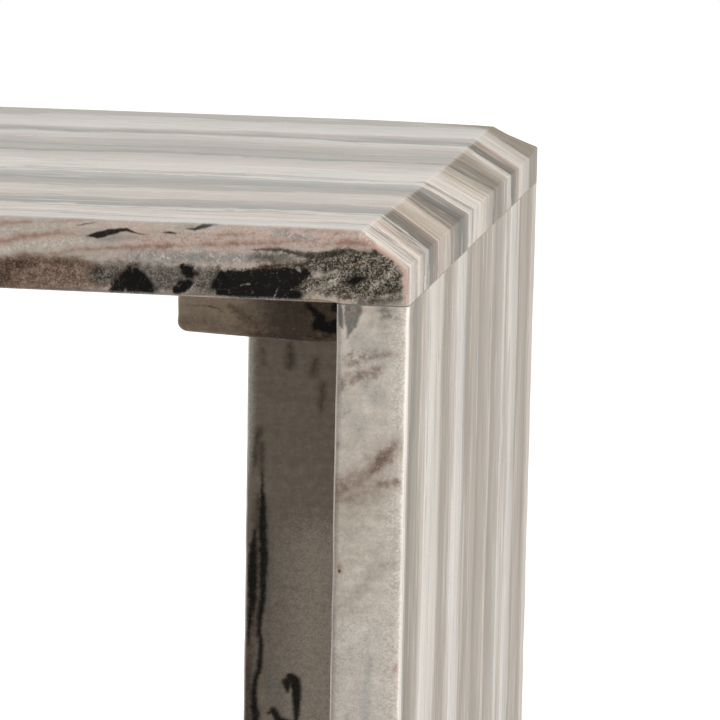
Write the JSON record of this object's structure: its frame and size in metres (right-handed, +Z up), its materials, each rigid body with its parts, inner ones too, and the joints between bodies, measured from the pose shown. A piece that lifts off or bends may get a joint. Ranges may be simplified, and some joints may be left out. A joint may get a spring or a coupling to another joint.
{
  "type": "accent table",
  "caption": "Low stone accent table: a slab top with sloped ends on slab side panels, each stiffened by a short upright return and a flat bearer bonded under the top.",
  "frame": {"origin": "on the floor, under the middle of the top", "axes": "+X along the width to the right end, +Y along the depth to the back, +Z up"},
  "size_m": [0.61, 0.457, 0.559],
  "materials": {
    "marble": "honed marble with straight cream, pink and grey bands and dark mineral seams",
    "resin": "cured amber bonding resin",
    "pin_steel": "plain stainless pin",
    "felt": "pressed felt"
  },
  "bodies": {
    "root": {"top_slab": "marble", "right_side_panel": "marble", "right_return": "marble", "right_bearer": "marble", "left_side_panel": "marble", "left_return": "marble", "left_bearer": "marble", "right_panel_resin": "resin", "right_return_resin": "resin", "right_seat_resin": "resin", "right_bearer_resin": "resin", "left_panel_resin": "resin", "left_return_resin": "resin", "left_seat_resin": "resin", "left_bearer_resin": "resin", "right_panel_pins": "pin_steel", "right_return_pins": "pin_steel", "right_bearer_pin": "pin_steel", "left_panel_pins": "pin_steel", "left_return_pins": "pin_steel", "left_bearer_pin": "pin_steel", "right_floor_pads": "felt", "left_floor_pads": "felt"}
  },
  "joints": []
}
